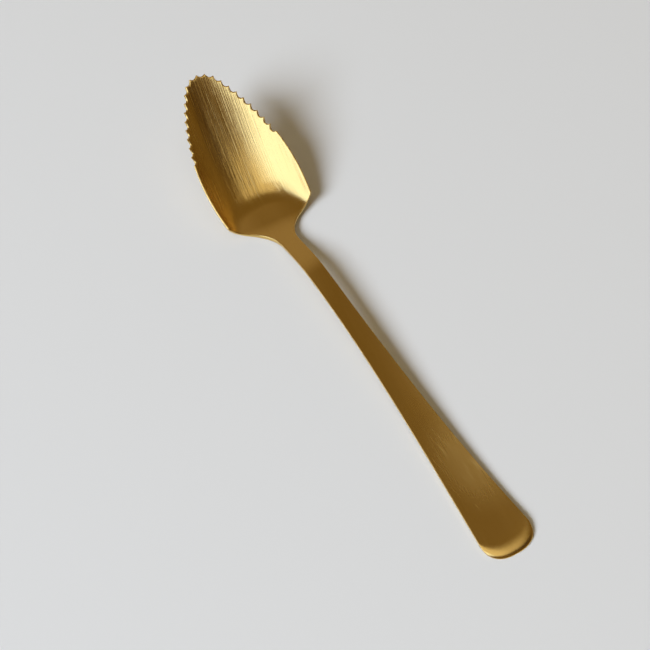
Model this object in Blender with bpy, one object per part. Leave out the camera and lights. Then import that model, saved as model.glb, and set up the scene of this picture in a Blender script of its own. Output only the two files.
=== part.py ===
"""A serrated fruit spoon, pressed from one sheet of steel and divided at flat cross-sections into its zones.

Metres, +Z up, +Y towards the tip of the bowl. The spoon rests on the heel below its shoulders and on the
level tail of its handle. The origin lies on that surface, below the middle of the spoon.
"""

import math

import bmesh
import bpy
from mathutils import Vector

MM = 0.001
HAIR = 0.001 * MM  # closer than this counts as touching
ON_THE_CUT = 0.00001 * MM  # points closer than this to a cut lie on it

# Lengths along the spoon, seen from above
TOTAL_LENGTH = 165.0 * MM
BOWL_LENGTH = 43.3 * MM  # tip back to the shoulder corners
SERRATION_LENGTH = 23.3 * MM  # tip back to the first notch
NECK_LENGTH = 35.3 * MM  # shoulder corners back to where the handle starts to widen
END_ROUNDING = 6.8 * MM  # length of the rounded handle end

# Widths and corners, seen from above
BOWL_WIDTH = 29.5 * MM
SHOULDER_INSET = 0.85 * MM  # each shoulder corner lies this far inside the widest place
SHOULDER_ROUNDING = 0.5 * MM  # the corner is rounded off from this far along both its edges
WAIST_WIDTH = 5.4 * MM
END_WIDTH = 14.1 * MM
FLARE_POWER = 1.85  # shape of the handle's widening, 1 is straight
TIP_RADIUS = 6.7 * MM
NECK_FILLET = 10.1 * MM
SHOULDER_SWEEP = math.radians(29.3)  # rear edge of the bowl against straight across

# Teeth
TOOTH_PITCH = 2.65 * MM
TOOTH_DEPTH = 0.65 * MM

# Heights of the underside, seen from the side
BOWL_DEPTH = 6.9 * MM  # rim plane down to the underside of the floor
BOWL_TILT = math.radians(21.9)  # rim plane against the table
CREASE_FROM_SHOULDER = 7.5 * MM  # shoulder corners to where the heel meets the bowl's floor
HEEL_LENGTH = 8.9 * MM  # tongue behind that crease, flat along its middle, which the spoon rests on
HEEL_RISE = 3.0 * MM  # the heel curls up this much towards the shoulder corners
HEEL_POWER = 1.9  # shape of that curl, 2 is a parabola
CREST_HEIGHT = 3.8 * MM  # top of the arch in the handle
CREST_BEHIND_SHOULDER = 25.8 * MM
TAIL_LENGTH = 11.0 * MM  # level stretch at the handle's end

# Sheet
NECK_THICKNESS = 1.4 * MM
BOWL_THICKNESS = 0.8 * MM  # the shoulder corners have it too
END_THICKNESS = 1.3 * MM  # the handle tapers to this on its way from the neck
END_THINNING = 0.9 * MM  # the handle's end is rounded off this much thinner at its edge
END_THINNING_WIDTH = 4.0 * MM
CREASE_ROUNDING = 1.2 * MM  # heights closer than this run into each other at the crease
HOLLOW_POWER = 2.6  # shape of the bowl's cross-section, 2 is a parabola
RUN_OUT_POWER = 1.15  # shape of the hollow's way out to the tip, 1 is a parabola
END_POWER = 2.4  # shape of the rounded end, 2 is an ellipse

# Where the zones meet
HANDLE_END_ZONE = 11.0 * MM
HANDLE_SHARE = 0.52  # of the stretch between the handle's end and the neck, the rest is the shank
NECK_BEHIND_SHOULDER = 17.0 * MM
NECK_PAST_SHOULDER = 3.0 * MM
PLAIN_RIM_AT_TIP = 0.9 * MM  # plain rim kept on the serrated tip, behind its first notch

# Fineness of the facets
END_STEPS = 8
HANDLE_STEP = 6.0 * MM
FILLET_STEPS = 10
REAR_EDGE_STEPS = 3
SHOULDER_STEPS = 3
BOWL_STEP = 1.9 * MM
TOOTH_STEPS = 6
ACROSS = (0.0, 0.16, 0.32, 0.48, 0.64, 0.78, 0.9, 1.0)  # shares of the way from the spine to the rim

CREASE_ANGLE = math.radians(40.0)  # edges sharper than this stay crisp

GOLD = (0.77, 0.48, 0.18, 1.0)
GOLD_ROUGHNESS = 0.32

shoulder_x = BOWL_WIDTH / 2 - SHOULDER_INSET
shoulder_y = TOTAL_LENGTH - BOWL_LENGTH
waist_y = shoulder_y - NECK_LENGTH
crest_y = shoulder_y - CREST_BEHIND_SHOULDER
crease_y = shoulder_y + CREASE_FROM_SHOULDER
heel_start = crease_y - HEEL_LENGTH
tip_centre = TOTAL_LENGTH - TIP_RADIUS
tilt_slope = math.tan(BOWL_TILT)


def smooth(share):
    """An S-shaped step from 0 to 1, level at both ends."""
    share = min(max(share, 0.0), 1.0)
    return share * share * (3.0 - 2.0 * share)


def side_arc():
    """Radius and centre of the bowl's side, which runs from the shoulder corner into the round tip."""
    half = BOWL_WIDTH / 2
    taper = half - TIP_RADIUS
    reach = tip_centre - shoulder_y
    low = (half + TIP_RADIUS) / 2
    high = reach**2 / taper + half
    while high - low > HAIR:
        radius = (low + high) / 2
        behind = math.sqrt(2 * SHOULDER_INSET * radius - SHOULDER_INSET**2)
        ahead = math.sqrt(max(2 * taper * radius - taper * (half + TIP_RADIUS), 0.0))
        if behind + ahead < reach:
            low = radius
        else:
            high = radius
    behind = math.sqrt(2 * SHOULDER_INSET * low - SHOULDER_INSET**2)
    return low, half - low, shoulder_y + behind


SIDE_RADIUS, SIDE_X, SIDE_Y = side_arc()
side_start = math.asin((shoulder_y - SIDE_Y) / SIDE_RADIUS)
side_end = math.atan2(tip_centre - SIDE_Y, -SIDE_X)
side_length = SIDE_RADIUS * (side_end - side_start)
tip_length = TIP_RADIUS * (math.pi / 2 - side_end)


def bowl_edge(run):
    """The plain rim, this far along it from the shoulder corner: x, y and the direction that faces out."""
    if run < side_length:
        angle = side_start + run / SIDE_RADIUS
        return SIDE_X + SIDE_RADIUS * math.cos(angle), SIDE_Y + SIDE_RADIUS * math.sin(angle), angle
    angle = side_end + (run - side_length) / TIP_RADIUS
    return TIP_RADIUS * math.cos(angle), tip_centre + TIP_RADIUS * math.sin(angle), angle


def flare(y):
    """Half width of the handle, which widens more and more from its waist to its end."""
    share = max(waist_y - y, 0.0) / (waist_y - END_ROUNDING)
    return (WAIST_WIDTH + (END_WIDTH - WAIST_WIDTH) * share**FLARE_POWER) / 2


def full_half_width(y):
    """Half width of the hollow: the plain rim on the bowl, and the shoulder's behind it."""
    if y < shoulder_y:
        return shoulder_x
    if y < SIDE_Y + SIDE_RADIUS * math.sin(side_end):
        return SIDE_X + math.sqrt(SIDE_RADIUS**2 - (y - SIDE_Y) ** 2)
    return math.sqrt(max(TIP_RADIUS**2 - (y - tip_centre) ** 2, 0.0))


def rim_height(y):
    return BOWL_DEPTH + tilt_slope * (y - crease_y)


def to_heel(y):
    """How much of the way from the crest of the handle down to the heel is done."""
    return smooth((y - crest_y) / (heel_start - crest_y))


def to_shoulder(x):
    """How much of the way from the neck's side out to the shoulder corner is done."""
    return max(abs(x) - WAIST_WIDTH / 2, 0.0) / (shoulder_x - WAIST_WIDTH / 2)


def stem_height(x, y):
    """Underside of the stem: level tail, arched handle, then the heel, which curls up to both sides."""
    if y < crest_y:
        return CREST_HEIGHT * smooth((y - TAIL_LENGTH) / (crest_y - TAIL_LENGTH))
    return CREST_HEIGHT * (1.0 - to_heel(y)) + HEEL_RISE * to_heel(y) * to_shoulder(x) ** HEEL_POWER


def hollow_height(x, y):
    """Underside of the bowl's hollow, which carries on below the heel behind the crease."""
    ahead = min(max(y - crease_y, 0.0) / (TOTAL_LENGTH - crease_y), 1.0)
    depth = BOWL_DEPTH * (1.0 - ahead * ahead) ** RUN_OUT_POWER
    half = full_half_width(y)
    across = min(abs(x) / half, 1.0) if half > 0.0 else 1.0
    return rim_height(y) - depth * (1.0 - across**HOLLOW_POWER)


def end_outline(x):
    """How far the rounded handle end lies from the end plane, at this distance from the middle."""
    share = min(abs(x) / flare(0.0), 1.0)
    return END_ROUNDING * (1.0 - (1.0 - share**END_POWER) ** (1.0 / END_POWER))


def blended(stem, hollow):
    """The higher of the two, rounded where they cross."""
    near = max(1.0 - abs(stem - hollow) / CREASE_ROUNDING, 0.0)
    return max(stem, hollow) + near * near * CREASE_ROUNDING / 4


def sheet_height(x, y):
    """Underside of the pressed sheet."""
    return blended(stem_height(x, y), hollow_height(x, y))


def stem_thickness(x, y):
    """Thickest at the neck, thinner towards the handle's rounded end and the shoulder corners."""
    handle = (NECK_THICKNESS - END_THICKNESS) * max(1.0 - y / waist_y, 0.0)
    near = min(max(1.0 - (y - end_outline(x)) / END_THINNING_WIDTH, 0.0), 1.0)
    rounding = END_THINNING * (1.0 - math.sqrt(1.0 - near * near))
    heel = (NECK_THICKNESS - BOWL_THICKNESS) * to_heel(y) * smooth(to_shoulder(x))
    return NECK_THICKNESS - handle - rounding - heel


def sheet_gauge(x, y):
    """Thickness of the sheet as a share of the neck's."""
    top = blended(stem_height(x, y) + stem_thickness(x, y), hollow_height(x, y) + BOWL_THICKNESS)
    return (top - sheet_height(x, y)) / NECK_THICKNESS


def end_lines():
    """Lines from the middle to the rounded end of the handle, turning from along it to straight across."""
    for step in range(END_STEPS):
        turn = math.pi / 2 * step / END_STEPS
        y = END_ROUNDING * (1.0 - math.cos(turn))
        short = (1.0 - (1.0 - y / END_ROUNDING) ** END_POWER) ** (1.0 / END_POWER)
        rim = Vector((flare(y) * short, y))
        yield END_ROUNDING * (1.0 + math.sin(turn)) / 2, rim, rim


def neck_points():
    """Half outline of the handle and the neck, from the rounded end into the rounded shoulder corner."""
    sweep = math.tan(SHOULDER_SWEEP)
    centre_x = WAIST_WIDTH / 2 + NECK_FILLET
    centre_y = shoulder_y - sweep * (shoulder_x - centre_x) - NECK_FILLET / math.cos(SHOULDER_SWEEP)
    steps = max(round((centre_y - END_ROUNDING) / HANDLE_STEP), 1)
    for step in range(steps):
        y = END_ROUNDING + (centre_y - END_ROUNDING) * step / steps
        yield flare(y), y
    for step in range(FILLET_STEPS):
        turn = (math.pi / 2 - SHOULDER_SWEEP) * step / FILLET_STEPS
        yield centre_x - NECK_FILLET * math.cos(turn), centre_y + NECK_FILLET * math.sin(turn)
    edge_x = centre_x - NECK_FILLET * math.sin(SHOULDER_SWEEP)
    round_x = shoulder_x - SHOULDER_ROUNDING * math.cos(SHOULDER_SWEEP)
    for step in range(REAR_EDGE_STEPS):
        x = edge_x + (round_x - edge_x) * step / REAR_EDGE_STEPS
        yield x, shoulder_y - sweep * (shoulder_x - x)
    corner = Vector((shoulder_x, shoulder_y))
    rear = Vector((round_x, shoulder_y - sweep * (shoulder_x - round_x)))
    side = Vector(bowl_edge(SHOULDER_ROUNDING)[:2])
    for step in range(SHOULDER_STEPS):
        share = step / SHOULDER_STEPS
        yield rear.lerp(corner, share).lerp(corner.lerp(side, share), share)


def serration_start():
    """How far along the rim from the shoulder corner the teeth begin."""
    along = (TOTAL_LENGTH - SERRATION_LENGTH - SIDE_Y) / SIDE_RADIUS
    return SIDE_RADIUS * (math.asin(along) - side_start)


def tooth_lines():
    """Lines from the middle to the toothed rim: scalloped notches that leave points, one at the tip."""
    start = serration_start()
    length = side_length + tip_length - start
    notches = max(round(length / TOOTH_PITCH), 1)
    steps = notches * TOOTH_STEPS
    first = TOTAL_LENGTH - SERRATION_LENGTH
    pole = tip_centre - TIP_RADIUS / 2
    for step in range(steps + 1):
        share = step / steps
        x, y, facing = bowl_edge(start + length * share)
        plain = Vector((x, y))
        notch = TOOTH_DEPTH * abs(math.sin(math.pi * step / TOOTH_STEPS))
        cut = plain - notch * Vector((math.cos(facing), math.sin(facing)))
        yield first + (pole - first) * share, cut, plain


def blank_lines():
    """Every line of the blank from its spine to its rim, handle end first: spine y, rim and plain rim."""
    yield from end_lines()
    for x, y in neck_points():
        yield y, Vector((x, y)), Vector((x, y))
    length = serration_start() - SHOULDER_ROUNDING
    steps = max(round(length / BOWL_STEP), 1)
    for step in range(steps):
        x, y, _ = bowl_edge(SHOULDER_ROUNDING + length * step / steps)
        yield y, Vector((x, y)), Vector((x, y))
    yield from tooth_lines()


def pressed_blank():
    """The whole spoon as one closed mesh: half a flat blank, pressed, mirrored and given its thickness."""
    lines = list(blank_lines())
    sheet = bmesh.new()
    rows = [[] for _ in lines]
    for row, (spine_y, cut, plain) in zip(rows, lines):
        for share in ACROSS:
            rim = cut if share == ACROSS[-1] else plain
            spot = Vector((0.0, spine_y)).lerp(rim, share)
            height = sheet_height(spot.x, spot.y)
            row.append(sheet.verts.new((spot.x, spot.y - TOTAL_LENGTH / 2, height)))
    for row, following in zip(rows, rows[1:]):
        for place in range(len(ACROSS) - 1):
            sheet.faces.new((row[place], row[place + 1], following[place + 1], following[place]))
    mesh = bpy.data.meshes.new("blank")
    sheet.to_mesh(mesh)
    sheet.free()
    blank = bpy.data.objects.new("blank", mesh)
    bpy.context.scene.collection.objects.link(blank)
    gauge = blank.vertex_groups.new(name="gauge")
    for vertex in mesh.vertices:
        share = sheet_gauge(vertex.co.x, vertex.co.y + TOTAL_LENGTH / 2)
        gauge.add([vertex.index], share, "REPLACE")
    mirror = blank.modifiers.new("other half", "MIRROR")
    mirror.merge_threshold = HAIR
    wall = blank.modifiers.new("thickness", "SOLIDIFY")
    wall.thickness = NECK_THICKNESS
    wall.offset = 1.0
    wall.vertex_group = gauge.name
    whole = bmesh.new()
    bpy.context.view_layer.update()
    whole.from_object(blank, bpy.context.evaluated_depsgraph_get())
    bpy.data.objects.remove(blank)
    bpy.data.meshes.remove(mesh)
    return whole


def cut_across(piece, y, keep_ahead):
    """Cuts the piece straight across and closes the flat cut face."""
    found = bmesh.ops.bisect_plane(
        piece,
        geom=piece.verts[:] + piece.edges[:] + piece.faces[:],
        dist=ON_THE_CUT,
        plane_co=(0.0, y - TOTAL_LENGTH / 2, 0.0),
        plane_no=(0.0, 1.0, 0.0),
        clear_inner=keep_ahead,
        clear_outer=not keep_ahead,
    )
    edges = [part for part in found["geom_cut"] if isinstance(part, bmesh.types.BMEdge)]
    bmesh.ops.edgeloop_fill(piece, edges=edges)


def gold_finish(name):
    material = bpy.data.materials.new(f"{name} brushed gold")
    material.use_nodes = True
    shader = material.node_tree.nodes["Principled BSDF"]
    shader.inputs["Base Color"].default_value = GOLD
    shader.inputs["Metallic"].default_value = 1.0
    shader.inputs["Roughness"].default_value = GOLD_ROUGHNESS
    return material


def make_zone(name, whole, start, end, parent):
    """One zone of the spoon, between two flat cross-sections, as an object of its own."""
    piece = whole.copy()
    if start is not None:
        cut_across(piece, start, True)
    if end is not None:
        cut_across(piece, end, False)
    bmesh.ops.recalc_face_normals(piece, faces=piece.faces[:])
    mesh = bpy.data.meshes.new(name)
    piece.to_mesh(mesh)
    piece.free()
    mesh.shade_smooth()
    mesh.set_sharp_from_angle(angle=CREASE_ANGLE)
    mesh.materials.append(gold_finish(name))
    zone = bpy.data.objects.new(name, mesh)
    zone.parent = parent
    bpy.context.scene.collection.objects.link(zone)


def build():
    for old in list(bpy.data.objects):
        bpy.data.objects.remove(old)
    frame = bpy.data.objects.new("spoon", None)
    bpy.context.scene.collection.objects.link(frame)
    names = ("handle_end", "handle", "shank", "neck", "bowl", "serrated_tip")
    neck_start = shoulder_y - NECK_BEHIND_SHOULDER
    cuts = (
        HANDLE_END_ZONE,
        HANDLE_END_ZONE + HANDLE_SHARE * (neck_start - HANDLE_END_ZONE),
        neck_start,
        shoulder_y + NECK_PAST_SHOULDER,
        TOTAL_LENGTH - SERRATION_LENGTH - PLAIN_RIM_AT_TIP,
    )
    whole = pressed_blank()
    for name, start, end in zip(names, (None, *cuts), (*cuts, None)):
        make_zone(name, whole, start, end, frame)
    whole.free()


build()
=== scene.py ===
import math
import bpy
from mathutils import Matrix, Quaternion, Vector


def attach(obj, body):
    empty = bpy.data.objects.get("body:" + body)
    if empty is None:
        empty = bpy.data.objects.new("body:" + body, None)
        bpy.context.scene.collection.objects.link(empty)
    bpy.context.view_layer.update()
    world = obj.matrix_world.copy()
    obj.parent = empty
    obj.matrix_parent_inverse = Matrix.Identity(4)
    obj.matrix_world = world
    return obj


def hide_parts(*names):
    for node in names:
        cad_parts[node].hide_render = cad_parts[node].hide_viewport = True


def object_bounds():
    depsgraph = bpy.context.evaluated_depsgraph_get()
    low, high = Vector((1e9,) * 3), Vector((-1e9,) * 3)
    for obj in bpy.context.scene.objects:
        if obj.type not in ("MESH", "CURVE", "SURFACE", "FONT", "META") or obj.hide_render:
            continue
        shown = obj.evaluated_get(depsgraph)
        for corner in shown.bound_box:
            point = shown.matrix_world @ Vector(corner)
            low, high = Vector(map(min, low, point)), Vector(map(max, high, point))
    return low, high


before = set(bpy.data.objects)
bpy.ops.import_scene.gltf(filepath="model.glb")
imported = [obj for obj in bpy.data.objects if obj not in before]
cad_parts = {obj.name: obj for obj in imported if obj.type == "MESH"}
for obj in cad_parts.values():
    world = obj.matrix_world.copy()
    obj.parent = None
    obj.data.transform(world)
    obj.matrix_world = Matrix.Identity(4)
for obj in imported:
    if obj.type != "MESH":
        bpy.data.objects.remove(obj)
cadLow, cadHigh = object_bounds()
mm = 0.001
spoonLength = (cadHigh.y - cadLow.y) / mm
bowlWidth = (cadHigh.x - cadLow.x) / mm
print(f"frame loaded, spoon {spoonLength:.1f} mm long, bowl {bowlWidth:.1f} mm wide")

# the spoon is one pressed sheet, sizes in mm, y counted from the handle's end
spoon = {
    "bowlLength": 43.3,  # tip back to the shoulder corners
    "serrationLength": 23.3,  # tip back to the first notch
    "neckLength": 35.3,  # shoulder corners back to where the handle starts to widen
    "endRounding": 6.8,
    "shoulderInset": 0.85,  # shoulder corners lie this far inside the widest place
    "shoulderRounding": 0.5,  # corners are rounded off from this far along both edges
    "waistWidth": 5.4,
    "endWidth": 14.1,
    "flarePower": 1.85,  # how the handle widens, 1 is straight
    "tipRadius": 6.7,
    "neckFillet": 10.1,
    "shoulderSweep": math.radians(29.3),
    "toothPitch": 2.65,
    "toothDepth": 0.65,
    "bowlDepth": 6.9,
    "bowlTilt": math.radians(21.9),
    "creaseFromShoulder": 7.5,
    "heelLength": 8.9,
    "heelRise": 3.0,  # the heel curls up this much towards the shoulder corners
    "heelPower": 1.9,
    "crestHeight": 3.8,
    "crestBehindShoulder": 25.8,
    "tailLength": 11.0,
    "neckThickness": 1.4,
    "bowlThickness": 0.8,  # the shoulder corners have it too
    "endThickness": 1.3,
    "endThinning": 0.9,  # the handle's end is rounded off this much thinner at its edge
    "endThinningWidth": 4.0,
    "handleDish": 0.16,  # the handle's top is this much lower along its middle
    "creaseRounding": 1.7,
    "hollowPower": 2.6,  # 2 is a parabola
    "runOutPower": 1.15,  # how the hollow runs out at the tip, 1 is a parabola
    "endPower": 2.4,  # 2 is an ellipse
    "handleRim": (0.10, 0.80),  # rounding of the upper edge, and the softer one below it
    "bowlRim": (0.24, 0.40),
    "toothRim": (0.42, 0.30),
    "rimShares": (0.55, 0.6),  # of the thickness, which the roundings stay within
    "rimBevel": 0.6,  # how straight the lower rounding is
    "lineStep": 0.6,  # mesh lines across the handle
    "bowlStep": 0.4,
    "endSteps": 48,
    "filletSteps": 24,
    "rearEdgeSteps": 12,
    "shoulderSteps": 8,
    "toothSteps": 12,
    "topSteps": 40,
    "underSteps": 16,
    "rimSteps": 5,
    "notchFade": 0.25,  # share of each mesh line, from the rim, in which the notches fade out
    "leastSlant": 0.35,  # mesh lines that meet the rim more slantwise count as this slant
    "slopeReach": 0.02,  # slopes are read this far to each side
    "mergeGap": 0.001,  # points closer than this are one
    "crispAngle": math.radians(40),
    "brushLean": (1 / 3, 1 / 5),  # height counts this much across and along the brushing map
}
shoulderX = bowlWidth / 2 - spoon["shoulderInset"]
shoulderY = spoonLength - spoon["bowlLength"]
waistY = shoulderY - spoon["neckLength"]
crestY = shoulderY - spoon["crestBehindShoulder"]
creaseY = shoulderY + spoon["creaseFromShoulder"]
heelY = creaseY - spoon["heelLength"]
tipY = spoonLength - spoon["tipRadius"]
serrationY = spoonLength - spoon["serrationLength"]


def smooth(share):
    share = min(max(share, 0.0), 1.0)
    return share * share * (3.0 - 2.0 * share)


def bowlSide():
    # the one arc that leaves the shoulder corner and runs into the round tip
    half, inset, tipRadius = bowlWidth / 2, spoon["shoulderInset"], spoon["tipRadius"]
    taper, reach = half - tipRadius, tipY - shoulderY
    low, high = (half + tipRadius) / 2, reach**2 / taper + half
    while high - low > spoon["mergeGap"]:
        radius = (low + high) / 2
        behind = math.sqrt(2 * inset * radius - inset**2)
        ahead = math.sqrt(max(2 * taper * radius - taper * (half + tipRadius), 0.0))
        low, high = (radius, high) if behind + ahead < reach else (low, radius)
    return low, half - low, shoulderY + math.sqrt(2 * inset * low - inset**2)


sideRadius, sideX, sideY = bowlSide()
sideStart = math.asin((shoulderY - sideY) / sideRadius)
sideEnd = math.atan2(tipY - sideY, -sideX)
sideRun = sideRadius * (sideEnd - sideStart)
tipRun = spoon["tipRadius"] * (math.pi / 2 - sideEnd)
serrationRun = sideRadius * (math.asin((serrationY - sideY) / sideRadius) - sideStart)


def bowlEdge(run):
    # plain rim, this far from the shoulder corner, and the way it faces
    if run < sideRun:
        turn = sideStart + run / sideRadius
        centre, radius = Vector((sideX, sideY)), sideRadius
    else:
        turn = sideEnd + (run - sideRun) / spoon["tipRadius"]
        centre, radius = Vector((0.0, tipY)), spoon["tipRadius"]
    outward = Vector((math.cos(turn), math.sin(turn)))
    return centre + outward * radius, outward


def handleHalf(y):
    share = max(waistY - y, 0.0) / (waistY - spoon["endRounding"])
    flare = (spoon["endWidth"] - spoon["waistWidth"]) * share ** spoon["flarePower"]
    return (spoon["waistWidth"] + flare) / 2


def hollowHalf(y):
    if y < shoulderY:
        return shoulderX
    if y < sideY + sideRadius * math.sin(sideEnd):
        return sideX + math.sqrt(sideRadius**2 - (y - sideY) ** 2)
    return math.sqrt(max(spoon["tipRadius"] ** 2 - (y - tipY) ** 2, 0.0))


def toHeel(y):
    return smooth((y - crestY) / (heelY - crestY))


def toShoulder(x):
    return max(abs(x) - spoon["waistWidth"] / 2, 0.0) / (shoulderX - spoon["waistWidth"] / 2)


def stemHeight(x, y):
    # level tail, arched handle, then the heel, flat along its middle
    if y < crestY:
        return spoon["crestHeight"] * smooth((y - spoon["tailLength"]) / (crestY - spoon["tailLength"]))
    curl = spoon["heelRise"] * toShoulder(x) ** spoon["heelPower"]
    return spoon["crestHeight"] * (1.0 - toHeel(y)) + curl * toHeel(y)


def hollowHeight(x, y):
    ahead = max(y - creaseY, 0.0) / (spoonLength - creaseY)
    half = hollowHalf(y)
    across = abs(x) / half if half > 0.0 else 1.0
    rim = spoon["bowlDepth"] + math.tan(spoon["bowlTilt"]) * (y - creaseY)
    depth = spoon["bowlDepth"] * max(1.0 - ahead * ahead, 0.0) ** spoon["runOutPower"]
    return rim - depth * (1.0 - across ** spoon["hollowPower"])


def blended(stem, hollow):
    # the higher of the two, rounded where they cross
    near = max(1.0 - abs(stem - hollow) / spoon["creaseRounding"], 0.0)
    return max(stem, hollow) + near * near * spoon["creaseRounding"] / 4


def underside(x, y):
    return Vector((x, y, blended(stemHeight(x, y), hollowHeight(x, y))))


def endOutline(x):
    share = min(abs(x) / handleHalf(0.0), 1.0)
    return spoon["endRounding"] * (1.0 - (1.0 - share ** spoon["endPower"]) ** (1.0 / spoon["endPower"]))


def stemThickness(x, y):
    # thinner towards the handle's rounded end, in its dished middle and towards the shoulders
    neck = spoon["neckThickness"]
    taper = (neck - spoon["endThickness"]) * max(1.0 - y / waistY, 0.0)
    near = min(max(1.0 - (y - endOutline(x)) / spoon["endThinningWidth"], 0.0), 1.0)
    rounding = spoon["endThinning"] * (1.0 - math.sqrt(1.0 - near * near))
    dish = max(1.0 - (x / handleHalf(y)) ** 2, 0.0) * smooth((shoulderY - y) / spoon["neckLength"])
    heel = (neck - spoon["bowlThickness"]) * toHeel(y) * smooth(toShoulder(x))
    return neck - taper - rounding - spoon["handleDish"] * dish - heel


def thickness(x, y):
    stem, hollow = stemHeight(x, y), hollowHeight(x, y)
    return blended(stem + stemThickness(x, y), hollow + spoon["bowlThickness"]) - blended(stem, hollow)


def upward(x, y):
    reach = spoon["slopeReach"]
    ahead = min(y + reach, spoonLength)
    along = underside(x, ahead) - underside(x, ahead - 2 * reach)
    across = underside(x + reach, y) - underside(x - reach, y)
    return across.cross(along).normalized()


def endLines():
    power = spoon["endPower"]
    for step in range(spoon["endSteps"]):
        turn = math.pi / 2 * step / spoon["endSteps"]
        y = spoon["endRounding"] * (1.0 - math.cos(turn))
        x = handleHalf(y) * (1.0 - (1.0 - y / spoon["endRounding"]) ** power) ** (1.0 / power)
        spineTurn = math.pi / 2 * max(step, 1) / spoon["endSteps"]  # the first two lines share their pole
        yield spoon["endRounding"] * (1.0 + math.sin(spineTurn)) / 2, Vector((x, y)), Vector((x, y))


def stemRim():
    sweep, fillet = spoon["shoulderSweep"], spoon["neckFillet"]
    centreX = spoon["waistWidth"] / 2 + fillet
    centreY = shoulderY - math.tan(sweep) * (shoulderX - centreX) - fillet / math.cos(sweep)
    steps = round((centreY - spoon["endRounding"]) / spoon["lineStep"])
    for step in range(steps):
        y = spoon["endRounding"] + (centreY - spoon["endRounding"]) * step / steps
        yield Vector((handleHalf(y), y))
    for step in range(spoon["filletSteps"]):
        turn = (math.pi / 2 - sweep) * step / spoon["filletSteps"]
        yield Vector((centreX - fillet * math.cos(turn), centreY + fillet * math.sin(turn)))
    edgeX = centreX - fillet * math.sin(sweep)
    corner, side = Vector((shoulderX, shoulderY)), bowlEdge(spoon["shoulderRounding"])[0]
    rear = corner - spoon["shoulderRounding"] * Vector((math.cos(sweep), math.sin(sweep)))
    for step in range(spoon["rearEdgeSteps"]):
        x = edgeX + (rear.x - edgeX) * step / spoon["rearEdgeSteps"]
        yield Vector((x, shoulderY - math.tan(sweep) * (shoulderX - x)))
    for step in range(spoon["shoulderSteps"]):
        share = step / spoon["shoulderSteps"]
        yield rear.lerp(corner, share).lerp(corner.lerp(side, share), share)


def toothLines():
    # scalloped notches that leave points, one of them at the tip
    run = sideRun + tipRun - serrationRun
    steps = round(run / spoon["toothPitch"]) * spoon["toothSteps"]
    poleY = tipY - spoon["tipRadius"] / 2
    for step in range(steps + 1):
        plain, outward = bowlEdge(serrationRun + run * step / steps)
        notch = spoon["toothDepth"] * abs(math.sin(math.pi * step / spoon["toothSteps"]))
        along = min(step, steps - 1) / steps  # the last two lines share their pole
        yield serrationY + (poleY - serrationY) * along, plain - outward * notch, plain


def blankLines():
    yield from endLines()
    for rim in stemRim():
        yield rim.y, rim, rim
    run = serrationRun - spoon["shoulderRounding"]
    steps = round(run / spoon["bowlStep"])
    for step in range(steps):
        rim = bowlEdge(spoon["shoulderRounding"] + run * step / steps)[0]
        yield rim.y, rim, rim
    yield from toothLines()


def sectionSteps():
    # round one cross-section: top outwards, over the rim, underside back inwards
    for step in range(spoon["topSteps"] + 1):
        yield "top", step / spoon["topSteps"]
    for step in range(1, spoon["rimSteps"] + 1):
        yield "upperEdge", step / spoon["rimSteps"]
    for step in range(spoon["rimSteps"]):
        yield "lowerEdge", step / spoon["rimSteps"]
    for step in range(spoon["underSteps"], -1, -1):
        yield "under", step / spoon["underSteps"]


def rimRounding(line):
    spineY, cut, plain = line
    share = smooth((plain.y - waistY) / spoon["neckLength"])
    sizes = [handle + (bowl - handle) * share for handle, bowl in zip(spoon["handleRim"], spoon["bowlRim"])]
    if spineY > serrationY and cut.y > serrationY:
        sizes = spoon["toothRim"]
    thick = thickness(plain.x, plain.y)
    return [min(size, most * thick) for size, most in zip(sizes, spoon["rimShares"])]


def sheetSpot(line, slant, kind, share):
    spineY, cut, plain = line
    upper, lower = rimRounding(line)
    spine = Vector((0.0, spineY))
    run = (cut - spine).length
    turn = share * math.pi / 2
    bevel = spoon["rimBevel"]
    inset = {
        "top": run / slant * (1.0 - share) + upper * share,
        "upperEdge": upper * (1.0 - math.sin(turn)),
        "lowerEdge": lower * (bevel * share + (1.0 - bevel) * (1.0 - math.cos(turn))),
        "under": run / slant * (1.0 - share) + lower * share,
    }[kind]
    reach = 1.0 - inset * slant / run
    rim = plain.lerp(cut, smooth((reach - 1.0) / spoon["notchFade"] + 1.0))
    x, y = spine.lerp(rim, reach)
    thick = thickness(x, y)
    lift = {
        "top": thick,
        "upperEdge": thick - upper * (1.0 - math.cos(turn)),
        "lowerEdge": lower * (bevel * (1.0 - share) + (1.0 - bevel) * (1.0 - math.sin(turn))),
        "under": 0.0,
    }[kind]
    return underside(x, y) + upward(x, y) * lift, hollowHeight(x, y) - stemHeight(x, y)


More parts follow.
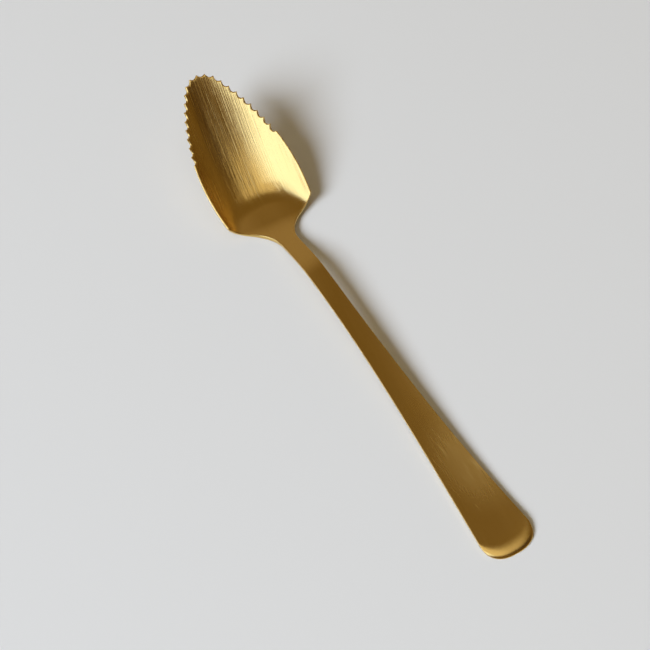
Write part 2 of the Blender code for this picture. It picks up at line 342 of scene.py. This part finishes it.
def makeSpoon():
    lines, steps = list(blankLines()), list(sectionSteps())
    bpy.ops.object.select_all(action="DESELECT")
    bpy.ops.mesh.primitive_grid_add(x_subdivisions=len(lines) - 1, y_subdivisions=len(steps) - 1, size=1.0)
    piece = bpy.context.object
    piece.name = piece.data.name = "spoon"
    hollowMark = piece.data.attributes.new("hollow", "FLOAT", "POINT")
    for index, vertex in enumerate(piece.data.vertices):
        # the flat grid gives each point its line and its step round the section
        place = round((vertex.co.x + 0.5) * (len(lines) - 1))
        kind, share = steps[round((vertex.co.y + 0.5) * (len(steps) - 1))]
        before, after = lines[max(place - 1, 0)][2], lines[min(place + 1, len(lines) - 1)][2]
        heading = (lines[place][1] - Vector((0.0, lines[place][0]))).normalized()
        slant = max(abs(heading.cross((after - before).normalized())), spoon["leastSlant"])
        spot, above = sheetSpot(lines[place], 1.0 / slant, kind, share)
        vertex.co = (spot.x * mm, (spot.y - spoonLength / 2) * mm, spot.z * mm)
        hollowMark.data[index].value = smooth(0.5 + above / spoon["creaseRounding"] / 2)
    bpy.ops.object.modifier_add(type="MIRROR")
    piece.modifiers["Mirror"].merge_threshold = spoon["mergeGap"] * mm
    bpy.ops.object.modifier_apply(modifier="Mirror")
    bpy.ops.object.mode_set(mode="EDIT")
    bpy.ops.mesh.select_all(action="SELECT")
    bpy.ops.mesh.remove_doubles(threshold=spoon["mergeGap"] * mm)
    bpy.ops.mesh.normals_make_consistent(inside=False)
    bpy.ops.object.mode_set(mode="OBJECT")
    bpy.ops.object.shade_smooth_by_angle(angle=spoon["crispAngle"])
    brushing = piece.data.uv_layers.active
    brushing.name = "brushing"  # u runs across the brush, which went along the spoon
    leanAcross, leanAlong = spoon["brushLean"]
    for loop in piece.data.loops:
        spot = piece.data.vertices[loop.vertex_index].co
        brushing.data[loop.index].uv = (spot.x + spot.z * leanAcross, spot.y + spot.z * leanAlong)
    print(f"spoon shaped, {len(piece.data.polygons)} faces")
    return piece


def toLinear(hexColour):
    parts = [int(hexColour[place:place + 2], 16) / 255 for place in (1, 3, 5)]
    linear = [part / 12.92 if part <= 0.04045 else ((part + 0.055) / 1.055) ** 2.4 for part in parts]
    return (*linear, 1.0)


def addNode(tree, kind, inputs=None, **settings):
    node = tree.nodes.new(kind)
    for name, value in settings.items():
        setattr(node, name, value)
    for name, value in (inputs or {}).items():
        if isinstance(value, bpy.types.NodeSocket):
            tree.links.new(value, node.inputs[name])
        else:
            node.inputs[name].default_value = value
    return node


# a Mix node's two colour inputs and its colour output, which share their names with other sockets
mixColours, mixedColour = (6, 7), 2

# stainless steel, gold coated in vacuum, the bowl brushed along its length and the handle satin:
# streaks show where the reflected light changes quickly, the tone stays a deep warm gold, and
# where the handle is held it is a little hazy, with fine scratches
goldFinish = {
    "deepGold": "#DDB96C",
    "paleGold": "#E6C57A",
    "anisotropy": 0.5,
    "bowlRoughness": (0.15, 0.29),
    "handleRoughness": (0.20, 0.24),
    # size across and along, and place from the spoon's middle, in mm: streaks and scratches are
    # really finer, and are drawn coarse enough to show
    "streaks": {"size": (0.30, 20.0), "turn": math.radians(-6.0), "place": (0.0, 0.0)},
    "haze": {"size": (9.0, 18.0), "turn": 0.0, "place": (2.0, -56.5)},
    "scratches": {"size": (0.45, 9.0), "turn": math.radians(7.0), "place": (0.0, 0.0)},
    "streakDetail": (2.5, 0.6),  # finer streaks in the coarse ones, and their strength
    "streakRange": (0.3, 0.7),  # smoothest and roughest streaks
    "streakHeight": 0.085,  # mm
    "hazeCore": 0.2,  # share of the haze's size where it is full
    "hazeRoughness": 0.08,  # added there
    "scratchEdge": (0.64, 0.74),  # how few and how crisp the scratches are
    "scratchRoughness": 0.12,
}


def brushedGold():
    material = bpy.data.materials.new("gold coated stainless steel, brushed")
    material.use_nodes = True
    tree = material.node_tree
    shader = tree.nodes["Principled BSDF"]
    spots = addNode(tree, "ShaderNodeTexCoord").outputs["Object"]
    hollow = addNode(tree, "ShaderNodeAttribute", attribute_name="hollow").outputs["Fac"]
    onMark = {}  # across and along the spoon, in units of each mark's size
    for name in ("streaks", "haze", "scratches"):
        mark = goldFinish[name]
        inputs = {"Vector": spots, "Rotation": (0.0, 0.0, mark["turn"])}
        inputs["Location"] = (*[place * mm for place in mark["place"]], 0.0)
        inputs["Scale"] = (*[size * mm for size in mark["size"]], 1.0)
        mapping = addNode(tree, "ShaderNodeMapping", inputs, vector_type="TEXTURE")
        onMark[name] = mapping.outputs["Vector"]

    # brushed streaks, in the hollow as fine ridges too
    detail, strength = goldFinish["streakDetail"]
    inputs = {"Vector": onMark["streaks"], "Scale": 1.0, "Detail": detail, "Roughness": strength}
    streaks = addNode(tree, "ShaderNodeTexNoise", inputs).outputs["Fac"]
    brushed = addNode(tree, "ShaderNodeMath", {0: streaks, 1: hollow}, operation="MULTIPLY").outputs[0]
    inputs = {"Height": brushed, "Distance": goldFinish["streakHeight"] * mm}
    streakBump = addNode(tree, "ShaderNodeBump", inputs)
    rough = []
    for key in ("handleRoughness", "bowlRoughness"):
        (fine, coarse), (low, high) = goldFinish["streakRange"], goldFinish[key]
        inputs = {"Value": streaks, "From Min": fine, "From Max": coarse, "To Min": low, "To Max": high}
        rough.append(addNode(tree, "ShaderNodeMapRange", inputs).outputs["Result"])
    inputs = {"Factor": hollow, "A": rough[0], "B": rough[1]}
    polished = addNode(tree, "ShaderNodeMix", inputs).outputs[0]

    # hazy patch with scratches, where the handle is held
    inputs = {0: onMark["haze"]}
    away = addNode(tree, "ShaderNodeVectorMath", inputs, operation="LENGTH").outputs["Value"]
    inputs = {"Value": away, "From Min": 1.0, "From Max": goldFinish["hazeCore"]}
    haze = addNode(tree, "ShaderNodeMapRange", inputs, interpolation_type="SMOOTHSTEP").outputs["Result"]
    inputs = {"Vector": onMark["scratches"], "Scale": 1.0, "Detail": 0.0}
    grooves = addNode(tree, "ShaderNodeTexNoise", inputs).outputs["Fac"]
    shallow, deep = goldFinish["scratchEdge"]
    inputs = {"Value": grooves, "From Min": shallow, "From Max": deep}
    scratches = addNode(tree, "ShaderNodeMapRange", inputs).outputs["Result"]
    inputs = {0: scratches, 1: goldFinish["scratchRoughness"], 2: goldFinish["hazeRoughness"]}
    worn = addNode(tree, "ShaderNodeMath", inputs, operation="MULTIPLY_ADD").outputs[0]
    inputs = {0: haze, 1: worn, 2: polished}
    roughness = addNode(tree, "ShaderNodeMath", inputs, operation="MULTIPLY_ADD")

    deepColour, paleColour = mixColours
    inputs = {"Factor": streaks, deepColour: toLinear(goldFinish["deepGold"]),
              paleColour: toLinear(goldFinish["paleGold"])}
    tone = addNode(tree, "ShaderNodeMix", inputs, data_type="RGBA").outputs[mixedColour]
    across = addNode(tree, "ShaderNodeTangent", direction_type="UV_MAP", uv_map="brushing")
    shader.inputs["Metallic"].default_value = 1.0
    shader.inputs["Anisotropic"].default_value = goldFinish["anisotropy"]
    tree.links.new(tone, shader.inputs["Base Color"])
    tree.links.new(roughness.outputs[0], shader.inputs["Roughness"])
    tree.links.new(streakBump.outputs["Normal"], shader.inputs["Normal"])
    tree.links.new(across.outputs["Tangent"], shader.inputs["Tangent"])
    return material


piece = makeSpoon()
piece.data.materials.clear()
piece.data.materials.append(brushedGold())
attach(piece, "root")
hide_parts("handle_end", "handle", "shank", "neck", "bowl", "serrated_tip")
print("gold finish on")

# plain pale floor, in metres, which stays pale far away where the lamps don't reach
floorPlan = {
    "size": 40.0,
    "colour": "#DEE0E1",
    "farColour": "#D6D7D7",
    "farEdge": (0.2, 0.8),
    "roughness": 0.6,
    "drop": 0.00002,
}


def makeFloor():
    bpy.ops.object.select_all(action="DESELECT")
    bpy.ops.mesh.primitive_plane_add(
        size=floorPlan["size"], location=(0.0, 0.0, cadLow.z - floorPlan["drop"]))
    floor = bpy.context.object
    floor.name = "floor"
    material = bpy.data.materials.new("matt white laminate")
    material.use_nodes = True
    tree = material.node_tree
    shader = tree.nodes["Principled BSDF"]
    shader.inputs["Base Color"].default_value = toLinear(floorPlan["colour"])
    shader.inputs["Roughness"].default_value = floorPlan["roughness"]
    spots = addNode(tree, "ShaderNodeTexCoord").outputs["Object"]
    away = addNode(tree, "ShaderNodeVectorMath", {0: spots}, operation="LENGTH").outputs["Value"]
    near, distant = floorPlan["farEdge"]
    inputs = {"Value": away, "From Min": near, "From Max": distant}
    far = addNode(tree, "ShaderNodeMapRange", inputs, interpolation_type="SMOOTHSTEP").outputs["Result"]
    path = addNode(tree, "ShaderNodeLightPath").outputs
    seen = path["Is Camera Ray"]
    for kind in ("Is Glossy Ray", "Is Transmission Ray"):
        seen = addNode(tree, "ShaderNodeMath", {0: seen, 1: path[kind]}, operation="MAXIMUM").outputs[0]
    share = addNode(tree, "ShaderNodeMath", {0: far, 1: seen}, operation="MULTIPLY").outputs[0]
    glow = addNode(tree, "ShaderNodeEmission", {"Color": toLinear(floorPlan["farColour"])})
    inputs = {0: share, 1: shader.outputs["BSDF"], 2: glow.outputs["Emission"]}
    mix = addNode(tree, "ShaderNodeMixShader", inputs)
    tree.links.new(mix.outputs["Shader"], tree.nodes["Material Output"].inputs["Surface"])
    floor.data.materials.append(material)


def towards(side):
    azimuth, elevation = math.radians(side["azimuth"]), math.radians(side["elevation"])
    return Vector((math.cos(azimuth) * math.cos(elevation), math.sin(azimuth) * math.cos(elevation),
                   math.sin(elevation)))


# oval soft boxes, seen from the spoon: azimuth from +X and elevation in degrees, metres, radiance,
# whether the gold mirrors them, and whether they light the floor
softBoxes = {
    "keyLight": {"azimuth": 192.0, "elevation": 34.0, "distance": 4.0, "size": (2.25, 2.0),
                 "radiance": 21.5, "colour": "#ECF4FF", "mirrored": False, "spread": True},
    "broadLight": {"azimuth": 177.0, "elevation": 38.0, "distance": 4.0, "size": (5.8, 4.4),
                   "radiance": 2.75, "colour": "#C2D6FF", "mirrored": True, "spread": False},
    "upperLight": {"azimuth": 221.0, "elevation": 67.0, "distance": 4.0, "size": (1.6, 1.5),
                   "radiance": 1.95, "colour": "#C2D6FF", "mirrored": True, "spread": False},
    "overheadLight": {"azimuth": -45.0, "elevation": 85.0, "distance": 4.0, "size": (2.5, 2.5),
                      "radiance": 0.8, "colour": "#FFFCEE", "mirrored": True, "spread": True},
}


def makeLights():
    for name, box in softBoxes.items():
        away = towards(box)
        bpy.ops.object.light_add(type="AREA", location=away * box["distance"],
                                 rotation=(-away).to_track_quat("-Z", "Y").to_euler())
        lamp = bpy.context.object
        lamp.name = name
        lamp.data.shape = "ELLIPSE"
        lamp.data.size, lamp.data.size_y = box["size"]
        lamp.data.color = toLinear(box["colour"])[:3]
        oval = math.pi / 4 * box["size"][0] * box["size"][1]
        lamp.data.energy = box["radiance"] * math.pi * oval  # watts
        lamp.visible_glossy = box["mirrored"]
        lamp.visible_diffuse = box["spread"]


# dim warm surroundings that the gold mirrors, lighter low ahead of the bowl, darkest high on the right
surroundings = {
    "plain": "#755F33",
    "lighter": {"colour": "#A08E73", "azimuth": 72.0, "elevation": 12.0, "edge": (0.70, 0.93)},
    "darker": {"colour": "#3C2917", "azimuth": -37.0, "elevation": 50.0, "edge": (0.945, 0.993)},
}


def makeSurroundings():
    world = bpy.data.worlds.new("dim surroundings")
    bpy.context.scene.world = world
    world.use_nodes = True
    tree = world.node_tree
    tree.nodes.clear()
    spots = addNode(tree, "ShaderNodeTexCoord").outputs["Generated"]
    tone = toLinear(surroundings["plain"])
    before, after = mixColours
    for side in (surroundings["lighter"], surroundings["darker"]):
        inputs = {0: spots, 1: towards(side)}
        facing = addNode(tree, "ShaderNodeVectorMath", inputs, operation="DOT_PRODUCT").outputs["Value"]
        outer, inner = side["edge"]
        inputs = {"Value": facing, "From Min": outer, "From Max": inner}
        share = addNode(tree, "ShaderNodeMapRange", inputs, interpolation_type="SMOOTHSTEP")
        inputs = {"Factor": share.outputs["Result"], before: tone, after: toLinear(side["colour"])}
        tone = addNode(tree, "ShaderNodeMix", inputs, data_type="RGBA").outputs[mixedColour]
    glow = addNode(tree, "ShaderNodeBackground", {"Color": tone, "Strength": 1.0})
    addNode(tree, "ShaderNodeOutputWorld", {"Surface": glow.outputs["Background"]})


# the photograph's viewpoint, distances in mm
cameraView = {
    "azimuth": math.radians(-30.61),
    "elevation": math.radians(54.74),
    "roll": math.radians(0.14),
    "focalPixels": 1290.53,
    "imagePixels": 650,
    "distance": 351.09,
    "target": (-5.41, -0.45, 0.0),
    "sensor": 36.0,
    "clipStart": 10.0,
}


def makeCamera():
    azimuth, elevation = cameraView["azimuth"], cameraView["elevation"]
    ahead = Vector((-math.sin(azimuth) * math.cos(elevation), math.cos(azimuth) * math.cos(elevation),
                    -math.sin(elevation)))
    spot = (Vector(cameraView["target"]) - ahead * cameraView["distance"]) * mm
    turned = Quaternion(ahead, cameraView["roll"]) @ ahead.to_track_quat("-Z", "Y")
    bpy.ops.object.camera_add(location=spot, rotation=turned.to_euler())
    camera = bpy.context.object
    camera.data.sensor_width = cameraView["sensor"]
    camera.data.lens = cameraView["focalPixels"] / cameraView["imagePixels"] * cameraView["sensor"]
    camera.data.clip_start = cameraView["clipStart"] * mm
    bpy.context.scene.camera = camera


makeFloor()
makeLights()
makeSurroundings()
makeCamera()
bpy.context.scene.view_settings.view_transform = "Standard"
print("stage, light and camera set")
